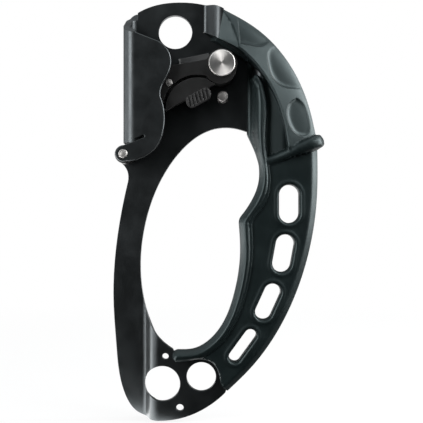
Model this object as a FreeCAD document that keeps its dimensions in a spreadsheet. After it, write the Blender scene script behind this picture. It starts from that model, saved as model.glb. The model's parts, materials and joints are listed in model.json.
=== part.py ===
"""Handled rope ascender: a folded alloy frame with a moulded grip, a sprung toothed cam and its safety catch.

Axes: +X towards the hand, +Z up the rope, -Y towards the user who works the catch.
Origin: centre of the large lower eye, in the middle of the lower plate's thickness.
"""

import FreeCAD, Part
import math
import os

import Sketcher

# Driving dimensions in millimetres: the frame's layers, the places of the pivots and the sizes of the pieces.
DIMENSIONS = {
    "sheet": 3.0,
    "joggle_depth": 9.0,
    "bend_radius": 4.0,
    "fold_radius": 6.0,
    "channel_left": -19.0,
    "flange_front": -10.5,
    "flange_rear": -7.5,
    "back_front": 7.5,
    "back_rear": 10.5,
    "main_eye": 8.85,
    "second_eye": 7.3,
    "second_eye_x": 19.4,
    "second_eye_z": 3.5,
    "top_eye": 8.55,
    "top_eye_x": 6.1,
    "top_eye_z": 177.1,
    "grip_half": 4.2,
    "bead_half": 6.6,
    "shell_half": 8.4,
    "rib_half": 9.6,
    "pivot_x": 29.6,
    "pivot_z": 158.7,
    "axle": 4.0,
    "axle_head": 6.5,
    "head_front": -9.2,
    "head_rear": -7.0,
    "washer_rear": -5.6,
    "washer_outer": 6.3,
    "running": 0.05,
    "cam_front": -5.5,
    "cam_rear": 5.4,
    "cam_boss": 7.6,
    "bush_outer": 5.0,
    "bush_rear": 1.4,
    "spacer_front": 1.5,
    "spacer_outer": 4.7,
    "spring_pocket": 6.9,
    "slot_front": -3.2,
    "slot_rear": -1.0,
    "catch_x": 3.5,
    "catch_z": 149.3,
    "catch_pin": 1.8,
    "pin_front": -5.9,
    "lever_rear": -1.2,
    "tongue_front": -3.0,
    "pad_front": -9.3,
    "pad_rivet": 1.0,
    "hook_rear": 4.6,
    "stop_x": 30.1,
    "stop_z": 143.4,
    "stop_pin": 2.65,
    "stop_front": -0.5,
    "stop_neck": 2.0,
    "stop_head": 3.2,
    "roller_x": -18.7,
    "roller_z": 114.1,
    "roller": 4.5,
    "roller_waist": 4.2,
    "roller_half": 6.5,
    "roller_bore": 2.85,
    "roller_axle": 2.2,
    "roller_neck": 1.7,
    "axle_front": -10.9,
    "side_washer": 3.6,
    "side_gap": 0.1,
    "rivet_rise": 1.4,
    "rear_washer": 0.8,
    "edge_break": 0.35,
    "zero": 0.0,
}

doc = FreeCAD.newDocument("ascender")
sheet = doc.addObject("Spreadsheet::Sheet", "Dimensions")
for row, (alias, number) in enumerate(DIMENSIONS.items(), start=1):
    sheet.set(f"A{row}", alias)
    sheet.set(f"B{row}", str(number))
    sheet.setAlias(f"B{row}", alias)
doc.recompute()

PARTS = []

# Half depth of the tools that cut right through, and the X range of the sheet before it is trimmed.
THROUGH = 30.0
SHEET_LEFT, SHEET_RIGHT = -60.0, 120.0


def cell(alias):
    """Value of one named dimension, read back from the spreadsheet."""
    return float(getattr(sheet, alias))


def amount(text):
    """Value of a sum of aliases, such as 'back_rear + rear_washer'."""
    total, sign = 0.0, 1.0
    for word in text.split():
        if word in ("+", "-"):
            sign = 1.0 if word == "+" else -1.0
        else:
            total += sign * cell(word)
    return total


def formula(text):
    """The same sum written as a spreadsheet expression."""
    return " ".join(word if word in ("+", "-") else f"Dimensions.{word}" for word in text.split())


def vec(x, z, y=0.0):
    """A point of a front outline: X across, Z up, Y in depth."""
    return FreeCAD.Vector(x, y, z)


def keep(piece, label):
    """Names a finished piece after its file."""
    piece.Label = label
    PARTS.append(piece)
    return piece


def line(start, end):
    return Part.makeLine(vec(*start), vec(*end))


def arc(start, middle, end):
    return Part.Arc(vec(*start), vec(*middle), vec(*end)).toShape()


def curve(*points):
    """Smooth curve through the given front-view points."""
    spline = Part.BSplineCurve()
    spline.interpolate([vec(*point) for point in points])
    return spline.toShape()


def face_of(*edges):
    return Part.Face(Part.Wire(Part.sortEdges(list(edges))[0]))


def slab(face, front, rear):
    """Front-view face drawn out from one depth to another."""
    lowered = face.translated(FreeCAD.Vector(0, front, 0))
    return lowered.extrude(FreeCAD.Vector(0, rear - front, 0))


def polygon(*points):
    return Part.Face(Part.makePolygon([vec(*point) for point in points + points[:1]]))


def drum(x, z, radius, front, rear):
    """Cylinder along Y."""
    return Part.makeCylinder(radius, rear - front, vec(x, z, front), FreeCAD.Vector(0, 1, 0))


def capsule(start, end, radius, front, rear):
    """Slab with round ends between two front-view points."""
    (x0, z0), (x1, z1) = start, end
    length = math.hypot(x1 - x0, z1 - z0)
    side_x, side_z = -(z1 - z0) / length * radius, (x1 - x0) / length * radius
    body = polygon(
        (x0 + side_x, z0 + side_z),
        (x1 + side_x, z1 + side_z),
        (x1 - side_x, z1 - side_z),
        (x0 - side_x, z0 - side_z),
    )
    shape = slab(body, front, rear)
    shape = shape.fuse([drum(x0, z0, radius, front, rear), drum(x1, z1, radius, front, rear)])
    return shape.removeSplitter()


def feature(label, shape):
    """Piece whose free-form shape is worked out in code from the sheet's values."""
    piece = doc.addObject("Part::Feature", label)
    piece.Shape = shape
    piece.Placement = shape.Placement
    return keep(piece, label)


def origin_plane(body, role):
    return next(plane for plane in body.Origin.OriginFeatures if plane.Role == role)


def turned(label, corners, x_alias, z_alias):
    """Piece turned about an axis along Y; each corner is (radius, depth) as sums of aliases."""
    body = doc.addObject("PartDesign::Body", label)
    profile = body.newObject("Sketcher::SketchObject", f"{label}_profile")
    profile.AttachmentSupport = (origin_plane(body, "XY_Plane"), [""])
    profile.MapMode = "FlatFace"
    places = [FreeCAD.Vector(amount(radius), amount(depth), 0) for radius, depth in corners]
    for start, end in zip(places, places[1:] + places[:1]):
        profile.addGeometry(Part.LineSegment(start, end), False)
    last = len(places) - 1
    for index in range(len(places)):
        following = 0 if index == last else index + 1
        profile.addConstraint(Sketcher.Constraint("Coincident", index, 2, following, 1))
    for index, (radius, depth) in enumerate(corners):
        bind(profile, "DistanceX", index, radius)
        bind(profile, "DistanceY", index, depth)
    spin = body.newObject("PartDesign::Revolution", f"{label}_turned")
    spin.Profile = profile
    spin.ReferenceAxis = (profile, ["V_Axis"])
    spin.Angle = 360.0
    body.setExpression("Placement.Base.x", formula(x_alias))
    body.setExpression("Placement.Base.z", formula(z_alias))
    return keep(body, label)


def bind(profile, kind, index, text):
    """Ties one coordinate of a sketch corner to the spreadsheet."""
    number = profile.addConstraint(Sketcher.Constraint(kind, -1, 1, index, 1, amount(text)))
    if amount(text) != 0.0:
        profile.setExpression(f"Constraints[{number}]", formula(text))


def ring(label, inner, outer, front, rear, x_alias, z_alias):
    """Plain washer or bush."""
    corners = [(inner, front), (outer, front), (outer, rear), (inner, rear)]
    return turned(label, corners, x_alias, z_alias)


def sheet_step(start, end, left_y, right_y, radius, low, high):
    """Folded sheet seen from above: flat at left_y, an S-bend from start to end, then flat at right_y.

    The bend angle follows from width * sin(a) + (2 * radius - depth) * cos(a) = 2 * radius.
    """
    half = cell("sheet") / 2.0
    width, depth = end - start, left_y - right_y
    reach = math.hypot(width, 2.0 * radius - depth)
    angle = math.asin(2.0 * radius / reach) - math.atan2(2.0 * radius - depth, width)
    upper, lower = [], []
    for offset, side in ((half, upper), (-half, lower)):
        side.extend(bend_edges(start, end, left_y, right_y, radius, angle, offset))
    left, right = SHEET_LEFT, SHEET_RIGHT
    edges = [
        plan_line((left, left_y + half), (start, left_y + half)),
        *upper,
        plan_line((end, right_y + half), (right, right_y + half)),
        plan_line((right, right_y + half), (right, right_y - half)),
        plan_line((right, right_y - half), (end, right_y - half)),
        *lower,
        plan_line((start, left_y - half), (left, left_y - half)),
        plan_line((left, left_y - half), (left, left_y + half)),
    ]
    section = Part.Face(Part.Wire(Part.sortEdges(edges)[0]))
    return section.translated(FreeCAD.Vector(0, 0, low)).extrude(FreeCAD.Vector(0, 0, high - low))


def bend_edges(start, end, left_y, right_y, radius, angle, offset):
    """Two arcs and the straight between them, at one offset from the middle of the sheet."""
    first = (start, left_y - radius)
    second = (end, right_y + radius)
    outer, inner = radius + offset, radius - offset

    def on_first(turn):
        return (first[0] + outer * math.sin(turn), first[1] + outer * math.cos(turn))

    def on_second(turn):
        return (second[0] - inner * math.sin(turn), second[1] - inner * math.cos(turn))

    return [
        plan_arc(on_first(0.0), on_first(angle / 2.0), on_first(angle)),
        plan_line(on_first(angle), on_second(angle)),
        plan_arc(on_second(angle), on_second(angle / 2.0), on_second(0.0)),
    ]


def plan_line(start, end):
    return Part.makeLine(FreeCAD.Vector(*start, 0), FreeCAD.Vector(*end, 0))


def plan_arc(start, middle, end):
    return Part.Arc(FreeCAD.Vector(*start, 0), FreeCAD.Vector(*middle, 0), FreeCAD.Vector(*end, 0)).toShape()


# ---------------------------------------------------------------- frame plate

# Row of the four long slots of the handle: centre, half width, and lean from the vertical in degrees.
SLOTS = (
    ((63.1, 89.6), 5.05, 0.0),
    ((60.2, 65.0), 4.65, 10.5),
    ((52.5, 41.0), 4.1, 24.5),
    ((39.9, 19.2), 2.9, 36.0),
)
SLOT_LENGTH = 19.0
# The large eye is drawn out a little, down and to the left, where it runs up the S-bend.
EYE_RELIEF = (-0.45, -1.4)
# The slit that frees the joggled top band from the plate that carries the cam.
SLIT = ((20.6, 177.0), (28.0, 171.9), (43.5, 161.4), (50.6, 156.4))
SLIT_HALF = 0.25
# Rim of the plate from right to left under the eyes, then up its left side to the roller's arm.
LOWER_RIM = ((13.8, -15.8), (-1.0, -18.5), (-13.2, -15.8), (-20.2, -5.0))
LEFT_RIM = ((-23.9, 18.0), (-25.4, 42.0), (-24.5, 63.5), (-21.2, 86.4), (-18.0, 101.2))
# Right edge of the metal under the grip, from the top down, and the two sides of the hand opening.
UNDER_GRIP = ((52.0, 168.6), (66.3, 145.0), (73.4, 115.0), (72.6, 88.0), (61.0, 42.0))
OPENING_LEFT = ((-3.0, 24.6), (-10.8, 46.0), (-9.2, 80.0), (4.0, 110.6), (21.9, 126.5))
OPENING_RIGHT = ((50.2, 119.5), (51.9, 104.0), (44.6, 84.0), (42.4, 68.0), (36.6, 37.0))
# X where each S-bend starts and ends: below the hand opening, beside the cam and above it.
LOWER_STEP = (-10.75, -1.75)
SIDE_STEP = (43.0, 50.4)
TOP_STEP = (20.2, 30.2)
# How much tighter the bend beside the cam is than the others.
SIDE_TIGHTER = 0.6
# Heights of the folded sheet: its lower end, the level where the S-bends change over and its upper end.
SHEET_LOW, SHEET_SPLIT, SHEET_WEB, SHEET_HIGH = -40.0, 60.0, 112.0, 210.0
# Lower end of the channel's fold and the outer radius of the arm's round end.
FOLD_FOOT = 119.6
ARM_END = 3.85
# Lug above the cam: lower left corner, lean, length and thickness; the window below stops short of its end.
LUG_CORNER = (8.6, 158.95)
LUG_LEAN = math.radians(11.3)
LUG_LENGTH, LUG_THICK, LUG_FRONT = 15.4, 3.3, 1.0
LUG_GAP = 0.35
WINDOW_DROP, WINDOW_SHORT = 7.2, 3.25
# Small holes near the eyes, each as X, Z and radius; the spring's hole as an offset from the pivot.
CORD_HOLES = ((1.55, 13.65, 1.6), (8.75, -11.95, 1.85))
SPRING_HOLE, SPRING_HOLE_RADIUS = (7.6, 6.4), 0.8
# How far the moulding reaches into each long slot of the metal.
LINING = 1.2
EYE_RELIEF_GROWTH = 0.1


def blank_outline():
    """Outer edge of the flat plate, front view; under the grip it is drawn in by a few millimetres."""
    fold = cell("channel_left") + cell("fold_radius")
    return face_of(
        curve((fold, 186.9), (-5.0, 190.4), (9.2, 192.2), (22.0, 190.6), (30.6, 187.1)),
        line((30.6, 187.1), (31.4, 183.2)),
        curve((31.4, 183.2), *UNDER_GRIP, (33.6, 1.6)),
        line((33.6, 1.6), (31.3, -4.5)),
        curve((31.3, -4.5), *LOWER_RIM, *LEFT_RIM),
        curve((-18.0, 101.2), (-18.3, 106.3), (-21.8, 110.9)),
        arc((-21.8, 110.9), (-22.9, 114.1), (-20.4, 117.9)),
        line((-20.4, 117.9), (fold, 120.4)),
        line((fold, 120.4), (fold, 186.9)),
    )


def opening_outline():
    """Edge of the hand opening in the metal; its right side lies under the grip."""
    return face_of(
        curve((5.2, 17.3), *OPENING_LEFT, (42.4, 126.4)),
        curve((42.4, 126.4), *OPENING_RIGHT, (22.0, 16.6)),
        line((22.0, 16.6), (6.6, 14.8)),
        line((6.6, 14.8), (5.2, 17.3)),
    )


def folded_plate():
    """The plate in three stretches, each with its own S-bend, joined where they lie in one plane."""
    blank = slab(blank_outline().cut(opening_outline()), -THROUGH, THROUGH)
    back = (cell("back_front") + cell("back_rear")) / 2.0
    middle = back - cell("joggle_depth")
    radius, thick = cell("bend_radius"), cell("sheet")
    height = SHEET_WEB - SHEET_SPLIT
    lower = sheet_step(*LOWER_STEP, back, middle, radius, SHEET_LOW, SHEET_SPLIT)
    handle = Part.makeBox(100.0, thick, height, FreeCAD.Vector(30.0, -thick / 2.0, SHEET_SPLIT))
    column = Part.makeBox(80.0, thick, height, FreeCAD.Vector(-50.0, cell("back_front"), SHEET_SPLIT))
    upper = sheet_step(*SIDE_STEP, back, middle, radius - SIDE_TIGHTER, SHEET_WEB, SHEET_HIGH)
    crown = sheet_step(*TOP_STEP, back, middle, radius, SHEET_WEB, SHEET_HIGH)
    slit_line = ((SHEET_LEFT, SLIT[0][1]), *SLIT, (SHEET_RIGHT, SLIT[-1][1]))
    above = polygon((SHEET_LEFT, SHEET_HIGH), *slit_line, (SHEET_RIGHT, SHEET_HIGH))
    below = polygon((SHEET_LEFT, SHEET_WEB), *slit_line, (SHEET_RIGHT, SHEET_WEB))
    stretches = [
        lower,
        handle,
        column,
        upper.common(slab(below, -THROUGH, THROUGH)),
        crown.common(slab(above, -THROUGH, THROUGH)),
    ]
    pieces = [stretch.common(blank) for stretch in stretches]
    slit = [capsule(*ends, SLIT_HALF, -THROUGH, THROUGH) for ends in zip(SLIT, SLIT[1:])]
    return pieces[0].fuse(pieces[1:]).cut(slit)


def channel_fold():
    """The U-fold on the left that holds the rope, cut off at a slant at the top."""
    left, radius, sheet_t = cell("channel_left"), cell("fold_radius"), cell("sheet")
    front, rear = cell("flange_front"), cell("back_rear")
    outer = fold_section(left, radius, front, rear)
    inner = fold_section(left + sheet_t, radius - sheet_t, front + sheet_t, rear - sheet_t)
    section = outer.cut(inner)
    tall = section.extrude(FreeCAD.Vector(0, 0, SHEET_HIGH))
    corners = [
        (front - 1.0, FOLD_FOOT),
        (rear + 1.0, FOLD_FOOT),
        (rear + 1.0, 188.6),
        (rear - 1.5, 184.1),
        (rear - radius, 181.2),
        (front + radius, 177.6),
        (front + 1.2, 174.4),
        (front - 1.0, 172.9),
    ]
    side = Part.Face(Part.makePolygon([FreeCAD.Vector(SHEET_LEFT, y, z) for y, z in corners + corners[:1]]))
    return tall.common(side.extrude(FreeCAD.Vector(SHEET_RIGHT - SHEET_LEFT, 0, 0)))


def fold_section(left, radius, front, rear):
    """Plan of a wall with two rounded left corners, closed along the line where the fold ends."""
    end = cell("channel_left") + cell("fold_radius")
    cut = (1.0 - math.sqrt(0.5)) * radius
    edges = [
        plan_arc((left, rear - radius), (left + cut, rear - cut), (left + radius, rear)),
        plan_line((left, rear - radius), (left, front + radius)),
        plan_arc((left, front + radius), (left + cut, front + cut), (left + radius, front)),
    ]
    if left + radius < end:
        edges.append(plan_line((left + radius, rear), (end, rear)))
        edges.append(plan_line((left + radius, front), (end, front)))
    edges.append(plan_line((end, rear), (end, front)))
    return Part.Face(Part.Wire(Part.sortEdges(edges)[0]))


def front_flange():
    """Free side of the channel, with the arm that carries the roller's axle."""
    fold = cell("channel_left") + cell("fold_radius")
    boss_x, boss_z = cell("roller_x"), cell("roller_z")
    face = face_of(
        line((fold, 173.6), (-3.6, 169.9)),
        curve((-3.6, 169.9), (1.2, 167.2), (4.5, 161.8), (3.9, 154.6), (0.6, 148.0), (-0.4, 142.0)),
        curve((-0.4, 142.0), (1.5, 134.2), (1.2, 126.6), (-2.2, 117.8), (-8.0, 112.9), (-17.4, boss_z - 3.6)),
        arc((-17.4, boss_z - 3.6), (boss_x - ARM_END, boss_z + 0.4), (boss_x - 1.5, boss_z + 3.55)),
        line((boss_x - 1.5, boss_z + 3.55), (-8.9, 121.9)),
        arc((-8.9, 121.9), (-8.3, 122.6), (-9.2, 122.9)),
        line((-9.2, 122.9), (fold, 121.2)),
        line((fold, 121.2), (fold, 173.6)),
    )
    plate = slab(face, cell("flange_front"), cell("flange_rear"))
    rim = [edge for edge in plate.Edges if on_free_edge(edge, cell("flange_front"), fold)]
    return plate.makeChamfer(cell("edge_break"), rim)


def on_free_edge(edge, depth, fold):
    """True for an edge of the face at that depth that isn't the one where the fold starts."""
    box = edge.BoundBox
    flat = abs(box.YMin - depth) < 1e-3 and abs(box.YMax - depth) < 1e-3
    joins_fold = abs(box.XMin - fold) < 1e-3 and abs(box.XMax - fold) < 1e-3
    return flat and not joins_fold


def on_lug(distance, rise):
    """Front-view point at a distance along the lug's underside and a rise above it."""
    c, s = math.cos(LUG_LEAN), math.sin(LUG_LEAN)
    return (LUG_CORNER[0] + distance * c - rise * s, LUG_CORNER[1] + distance * s + rise * c)


def lug_and_window():
    """Lug lanced out of the plate above the cam, which stops the closed cam, and the window it leaves."""
    side = polygon(
        on_lug(0.0, 0.0),
        on_lug(LUG_LENGTH, 0.0),
        on_lug(LUG_LENGTH, LUG_THICK),
        on_lug(0.0, LUG_THICK),
    )
    lug = slab(side, LUG_FRONT, cell("back_rear") - 1.0)
    boss = drum(cell("pivot_x"), cell("pivot_z"), cell("cam_boss") + LUG_GAP, -THROUGH, cell("back_rear") - 1.0)
    end = LUG_LENGTH - WINDOW_SHORT
    hole = polygon(on_lug(0.0, 0.0), on_lug(end, 0.0), on_lug(end, -WINDOW_DROP), on_lug(0.0, -WINDOW_DROP))
    return lug.cut(boss), slab(hole, 0.0, THROUGH)


def slot_cut(index, margin):
    """One of the handle's slots, widened by a margin all round."""
    (x, z), half_width, lean = SLOTS[index]
    reach = SLOT_LENGTH / 2.0 - half_width
    dx, dz = reach * math.sin(math.radians(lean)), reach * math.cos(math.radians(lean))
    return capsule((x - dx, z - dz), (x + dx, z + dz), half_width + margin, -THROUGH, THROUGH)


def frame_plate():
    """The whole metal frame with every hole that goes through it."""
    lug, window = lug_and_window()
    solid = folded_plate().cut(window).fuse([channel_fold(), front_flange(), lug])
    pivot_x, pivot_z = cell("pivot_x"), cell("pivot_z")
    roller_x, roller_z = cell("roller_x"), cell("roller_z")
    spring_x, spring_z = SPRING_HOLE
    holes = [
        drum(0.0, 0.0, cell("main_eye"), -THROUGH, THROUGH),
        drum(*EYE_RELIEF, cell("main_eye") + EYE_RELIEF_GROWTH, cell("sheet"), THROUGH),
        drum(cell("second_eye_x"), cell("second_eye_z"), cell("second_eye"), -THROUGH, THROUGH),
        drum(cell("top_eye_x"), cell("top_eye_z"), cell("top_eye"), 0.0, THROUGH),
        drum(pivot_x, pivot_z, cell("axle"), 0.0, THROUGH),
        drum(cell("stop_x"), cell("stop_z"), cell("stop_neck"), 0.0, THROUGH),
        drum(roller_x, roller_z, cell("roller_neck"), 0.0, THROUGH),
        drum(roller_x, roller_z, cell("roller_axle"), -THROUGH, 0.0),
        drum(pivot_x + spring_x, pivot_z + spring_z, SPRING_HOLE_RADIUS, 0.0, THROUGH),
    ]
    holes += [drum(x, z, radius, -THROUGH, THROUGH) for x, z, radius in CORD_HOLES]
    lined = [slot_cut(index, LINING) for index in range(len(SLOTS))]
    return solid.cut(holes + lined).removeSplitter()


# ---------------------------------------------------------------- grip

# Outer edge of the grip from its lower end to the top, and the finger side from the top down.
OUTER_SIDE = ((32.6, -3.5), (44.5, 8.3), (55.4, 22.8), (66.3, 44.3), (72.9, 65.0), (76.9, 90.0), (77.2, 120.0))
OUTER_TOP = ((77.2, 120.0), (73.7, 136.0), (66.8, 153.6), (57.8, 166.9), (45.8, 177.9), (30.6, 186.6))
FINGER_TOP = ((42.6, 125.3), (47.6, 112.0), (47.9, 100.0), (42.9, 88.6), (38.1, 81.2))
FINGER_LOW = ((38.1, 81.2), (38.8, 66.0), (35.8, 45.0), (26.8, 25.2), (15.6, 17.4), (7.6, 16.9))
BEAD_CORNER = (44.4, 80.2)
BEAD_HIGH = ((49.4, 87.0), (53.4, 97.0), (52.4, 112.0), (51.6, 126.0), (51.2, 140.0))
# Skin of the cuff behind the plate, and the web that closes the slit from behind: its line, half width and gap.
CUFF_SKIN = 1.6
GUSSET_LINE = ((25.4, 174.4), (30.0, 171.4), (43.6, 162.4))
GUSSET_HALF, GUSSET_GAP = 1.9, 0.1
# Stretches of the cross rib, each with its ends and half width.
RIB_STRETCHES = (((53.4, 110.8), (63.0, 114.8), 2.6), ((63.0, 114.8), (76.8, 120.2), 3.2))
# Clear band round the second eye.
EYE_MARGIN = 1.0


def grip_outline():
    """Whole outline of the moulding, front view."""
    return face_of(
        curve(*OUTER_SIDE),
        curve(*OUTER_TOP),
        line((30.6, 186.6), (27.8, 172.2)),
        curve((27.8, 172.2), (36.0, 167.0), (42.6, 162.0)),
        line((42.6, 162.0), (42.6, 125.3)),
        curve(*FINGER_TOP),
        curve(*FINGER_LOW),
        arc((7.6, 16.9), (4.9, 13.5), (7.8, 10.9)),
        curve((7.8, 10.9), (13.0, 11.4), (19.4, 12.3), (25.6, 9.8), (28.4, 3.4), (29.9, -1.4), (32.6, -3.5)),
    )


def finger_bead():
    """Raised bead along the hand opening and up the side of the cam plate."""
    return face_of(
        line((42.6, 152.6), (42.6, 125.3)),
        curve(*FINGER_TOP),
        curve(*FINGER_LOW),
        arc((7.6, 16.9), (4.9, 13.5), (7.8, 10.9)),
        curve((7.8, 10.9), (16.4, 11.8), (29.6, 20.4), (41.2, 43.4), (44.9, 66.0), BEAD_CORNER),
        curve(BEAD_CORNER, *BEAD_HIGH, (46.6, 152.0)),
        line((46.6, 152.0), (42.6, 152.6)),
    )


def thumb_shell():
    """Thick band over the top of the handle that the thumb rests on."""
    return face_of(
        curve(*OUTER_TOP),
        line((30.6, 186.6), (27.8, 172.2)),
        curve((27.8, 172.2), (38.6, 165.2), (50.6, 152.0), (59.4, 132.6), (62.0, 118.0)),
        line((62.0, 118.0), (77.2, 120.0)),
    )


def cuff_outline():
    """Part of the moulding that wraps round the edge of the cam plate."""
    return face_of(
        line((42.6, 162.0), (42.6, 125.3)),
        curve((42.6, 125.3), (46.6, 117.0), (48.2, 108.0)),
        line((48.2, 108.0), (55.0, 108.0)),
        line((55.0, 108.0), (55.0, 152.0)),
        line((55.0, 152.0), (42.6, 162.0)),
    )


def even_slab(face, half):
    """Slab of equal reach either side of the mid-plane."""
    return slab(face, -half, half)


def grip():
    """One moulding over the handle: panel, finger bead, thumb band and cross rib, cast round the plate."""
    panel = even_slab(grip_outline(), cell("grip_half"))
    bead = even_slab(finger_bead(), cell("bead_half"))
    shell = even_slab(thumb_shell(), cell("shell_half"))
    cuff = slab(cuff_outline(), -cell("grip_half"), cell("back_rear") + CUFF_SKIN)
    half = cell("rib_half")
    rib = [capsule(start, end, radius, -half, half) for start, end, radius in RIB_STRETCHES]
    behind = cell("back_rear") - GUSSET_GAP
    gusset = [capsule(start, end, GUSSET_HALF, 0.0, behind) for start, end in zip(GUSSET_LINE, GUSSET_LINE[1:])]
    solid = panel.fuse([bead, shell, cuff] + rib + gusset)
    slots = [slot_cut(index, 0.0) for index in range(len(SLOTS))]
    eye = cell("second_eye") + EYE_MARGIN
    clear_eye = drum(cell("second_eye_x"), cell("second_eye_z"), eye, -THROUGH, THROUGH)
    return solid.cut(slots + [clear_eye])


# ---------------------------------------------------------------- cam

# Circle of the toothed face and circle of the hollow under the cam, front view.
TOOTH_CENTRE = (14.2, 151.0)
TOOTH_RADIUS = 20.4
HOLLOW_CENTRE = (17.6, 136.1)
HOLLOW_RADIUS = 17.3
# Teeth: height, rows, direction of the first row and step in degrees, lean, and the radii of one tooth.
TOOTH_RISE, TOOTH_ROOT = 1.4, 0.5
TOOTH_ROWS, TOOTH_FIRST, TOOTH_STEP = 9, 168.5, 4.6
TOOTH_LEAN = 0.35
TOOTH_FOOT, TOOTH_TIP = 0.95, 0.12
WIDE_ROW, NARROW_ROW = (-4.4, -1.6, 1.6, 4.4), (-3.3, 0.0, 3.3)
# Thicker ring round the cam's boss, set off a little from the pivot.
COLLAR_SHIFT, COLLAR = (-0.7, -1.7), 8.0
# Recess in the cam for the catch's tongue and the round room for the catch's spring.
CATCH_SLOT = ((6.5, 146.5), 8.0)
SPRING_ROOM, SPRING_ROOM_REAR = 3.3, 3.0
PRESS_GAP = 0.01


def on_tooth_circle(z):
    """Point of the toothed face at one height."""
    return (TOOTH_CENTRE[0] - math.sqrt(TOOTH_RADIUS**2 - (z - TOOTH_CENTRE[1]) ** 2), z)


def cam_arm():
    """The cam's arm from its boss to the toothed nose, front view."""
    crown, heel = on_tooth_circle(155.2), on_tooth_circle(141.4)
    return face_of(
        line((29.6, 162.4), (-2.6, 156.6)),
        curve((-2.6, 156.6), (-4.6, 156.2), crown),
        arc(crown, on_tooth_circle(TOOTH_CENTRE[1]), heel),
        line(heel, (1.2, 141.0)),
        line((1.2, 141.0), (8.0, 148.0)),
        line((8.0, 148.0), (29.6, 150.4)),
        line((29.6, 150.4), (29.6, 162.4)),
    )


def cam_teeth():
    """Staggered rows of small cones on the nose, leaning down so that the rope drags them in."""
    teeth = []
    for row in range(TOOTH_ROWS):
        turn = math.radians(TOOTH_FIRST + TOOTH_STEP * row)
        out = FreeCAD.Vector(math.cos(turn), 0, math.sin(turn))
        down = FreeCAD.Vector(-math.sin(turn), 0, math.cos(turn))
        lean = (out + down * TOOTH_LEAN).normalize()
        root = vec(*TOOTH_CENTRE) + out * (TOOTH_RADIUS - TOOTH_ROOT)
        for depth in NARROW_ROW if row % 2 else WIDE_ROW:
            place = root + FreeCAD.Vector(0, depth, 0)
            teeth.append(Part.makeCone(TOOTH_FOOT, TOOTH_TIP, TOOTH_RISE + TOOTH_ROOT, place, lean))
    return teeth


def collar(grow, front, rear):
    """The ring round the cam's boss, grown by a gap."""
    x, z = cell("pivot_x") + COLLAR_SHIFT[0], cell("pivot_z") + COLLAR_SHIFT[1]
    return drum(x, z, COLLAR + grow, front, rear)


def cam():
    """Cast cam: boss, arm, toothed nose, spring pocket behind and a slot for the catch's tongue."""
    front, rear = cell("cam_front"), cell("cam_rear")
    x, z = cell("pivot_x"), cell("pivot_z")
    catch_x, catch_z = cell("catch_x"), cell("catch_z")
    hollow = drum(*HOLLOW_CENTRE, HOLLOW_RADIUS, -THROUGH, THROUGH)
    boss = drum(x, z, cell("cam_boss"), front, rear).fuse(collar(0.0, front, rear))
    solid = slab(cam_arm(), front, rear).cut(hollow).fuse(boss).removeSplitter()
    solid = solid.fuse(cam_teeth())
    (slot_x, slot_z), slot_radius = CATCH_SLOT
    cuts = [
        drum(x, z, cell("bush_outer") + 2.0 * PRESS_GAP, -THROUGH, rear),
        drum(x, z, cell("spring_pocket"), cell("spacer_front"), THROUGH),
        drum(catch_x, catch_z, cell("catch_pin") + PRESS_GAP, -THROUGH, THROUGH),
        drum(catch_x, catch_z, SPRING_ROOM, cell("slot_rear"), SPRING_ROOM_REAR),
        drum(slot_x, slot_z, slot_radius, cell("slot_front"), cell("slot_rear")),
    ]
    return solid.cut(cuts)


# ---------------------------------------------------------------- safety catch

PAD_CENTRE = (18.1, 141.9)
PAD_LEAN = math.radians(28.0)
PAD_LENGTH, PAD_WIDTH = 13.2, 5.4
# Places of the two rivets along the pad, and the depth of their front ends.
RIVET_PLACES, RIVET_FRONT = (-4.0, 4.0), -7.4
# Ridges across the pad: height, spacing, slant, and half widths at the foot and at the crest.
RIDGE_RISE, RIDGE_PITCH, RIDGE_SLANT = 0.7, 1.9, 1.5
RIDGE_FOOT, RIDGE_CREST = 0.85, 0.25
# Gaps of the catch to the hollow of the cam and to the collar, and the line of its lower edge.
HOLLOW_GAP, COLLAR_GAP = 1.5, 0.6
CATCH_EDGE = ((-10.0, 129.3), (60.0, 166.9))
TONGUE_END, TONGUE_HALF = (9.2, 143.4), 3.1
HOOK_HALF, HOOK_REACH, HOOK_DROP = 1.3, 1.4, 0.6


def along_pad(distance, across=0.0):
    """Point of the thumb pad's own frame, in front-view coordinates."""
    c, s = math.cos(PAD_LEAN), math.sin(PAD_LEAN)
    return (PAD_CENTRE[0] + distance * c - across * s, PAD_CENTRE[1] + distance * s + across * c)


def pad_bar(front, rear):
    """Bar with round ends, of the pad's length and width."""
    reach = (PAD_LENGTH - PAD_WIDTH) / 2.0
    return capsule(along_pad(-reach), along_pad(reach), PAD_WIDTH / 2.0, front, rear)


def safety_catch():
    """Curved plate under the cam, with a tongue to its pivot and a hook behind the pad."""
    front, rear = cell("cam_front"), cell("lever_rear")
    (left, low), (right, high) = CATCH_EDGE
    edge = polygon((left, low), (right, high), (right, SHEET_HIGH), (left, SHEET_HIGH))
    above = slab(edge, -THROUGH, THROUGH)
    plate = drum(*HOLLOW_CENTRE, HOLLOW_RADIUS - HOLLOW_GAP, front, rear)
    plate = plate.common(above).fuse(pad_bar(front, rear)).cut(collar(COLLAR_GAP, -THROUGH, THROUGH))
    eye = (cell("catch_x"), cell("catch_z"))
    tongue = capsule(eye, TONGUE_END, TONGUE_HALF, cell("tongue_front"), rear)
    hook_start, hook_end = along_pad(-HOOK_REACH, -HOOK_DROP), along_pad(HOOK_REACH, -HOOK_DROP)
    hook = capsule(hook_start, hook_end, HOOK_HALF, rear - 0.5, cell("hook_rear"))
    solid = plate.fuse([tongue, hook]).removeSplitter()
    holes = [drum(*eye, cell("catch_pin") + cell("running"), -THROUGH, THROUGH)]
    holes += [drum(*along_pad(place), cell("pad_rivet"), -THROUGH, THROUGH) for place in RIVET_PLACES]
    return solid.cut(holes)


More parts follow.
